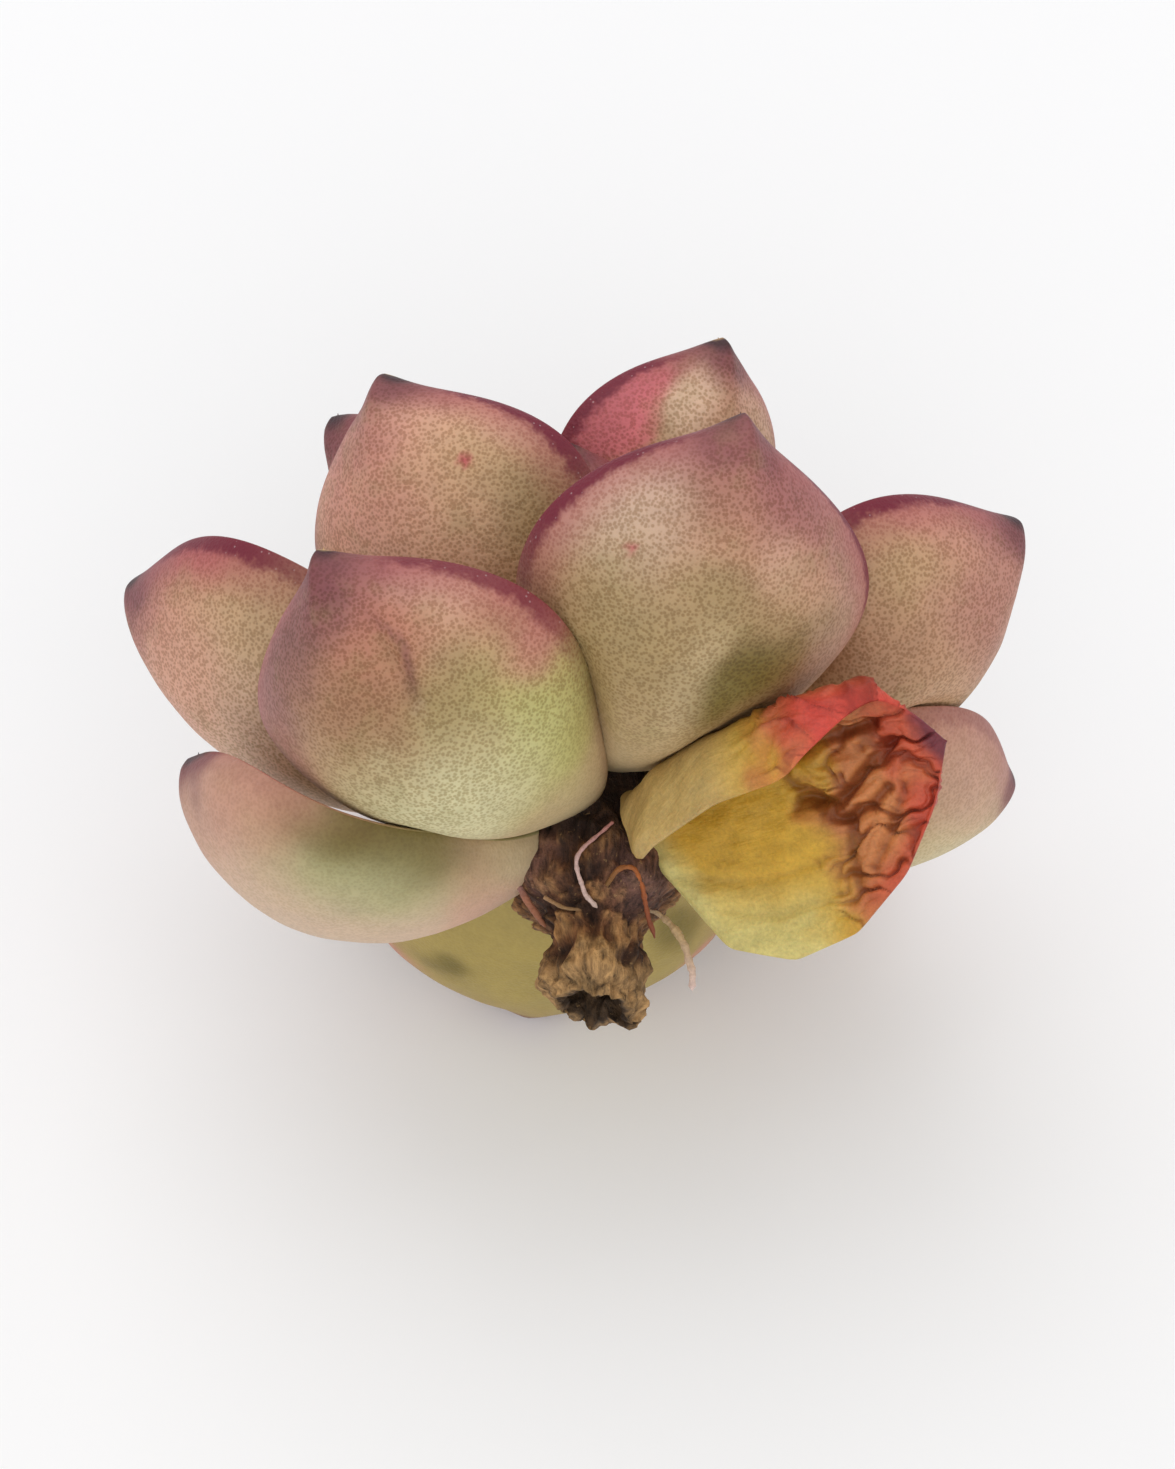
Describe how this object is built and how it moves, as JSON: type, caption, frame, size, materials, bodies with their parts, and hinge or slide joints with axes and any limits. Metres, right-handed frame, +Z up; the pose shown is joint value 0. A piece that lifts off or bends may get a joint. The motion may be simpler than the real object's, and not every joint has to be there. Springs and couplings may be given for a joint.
{
  "type": "bare-root succulent rosette",
  "caption": "Bare-root succulent rosette lying on its side: thick cupped leaves spiral round a short woody stem, with one withered leaf and dry root fibres.",
  "frame": {"origin": "on the surface that the plant lies on, under the middle of its bounding box", "axes": "+Z up; +Y the way the lying rosette faces, from the broken stem end to the youngest leaves; +X to the right, seen from the stem end"},
  "size_m": [0.0764, 0.052, 0.0759],
  "materials": {
    "leaf_skin": "matte fleshy skin, rose at the margins and olive tan in the middle, finely stippled",
    "young_leaf_skin": "matte fleshy skin, pale green with rose tips",
    "withered_skin": "limp wrinkled skin, mustard yellow to red",
    "woody_stem": "rough fibrous bark",
    "dry_root": "dry thin fibre"
  },
  "bodies": {
    "root": {"stem": "woody_stem", "lower_leaf_left": "leaf_skin", "withered_leaf": "withered_skin", "lower_leaf_back": "leaf_skin", "front_leaf_left": "leaf_skin", "lower_leaf_right": "leaf_skin", "side_leaf_left": "leaf_skin", "front_leaf_right": "leaf_skin", "back_leaf_right": "leaf_skin", "upper_leaf_left": "leaf_skin", "side_leaf_right": "leaf_skin", "back_leaf_left": "leaf_skin", "inner_leaf_front": "leaf_skin", "inner_leaf_back_right": "leaf_skin", "inner_leaf_left": "leaf_skin", "upper_leaf_right": "leaf_skin", "leaf_15": "young_leaf_skin", "leaf_16": "young_leaf_skin", "leaf_17": "young_leaf_skin", "leaf_18": "young_leaf_skin", "leaf_19": "young_leaf_skin", "leaf_20": "young_leaf_skin", "leaf_21": "young_leaf_skin", "leaf_22": "young_leaf_skin", "leaf_23": "young_leaf_skin", "leaf_24": "young_leaf_skin", "leaf_25": "young_leaf_skin", "leaf_26": "young_leaf_skin", "leaf_27": "young_leaf_skin", "root_fibre_front": "dry_root", "root_fibre_long": "dry_root", "root_fibre_loop": "dry_root", "root_fibre_short": "dry_root", "root_fibre_side": "dry_root"}
  },
  "joints": []
}
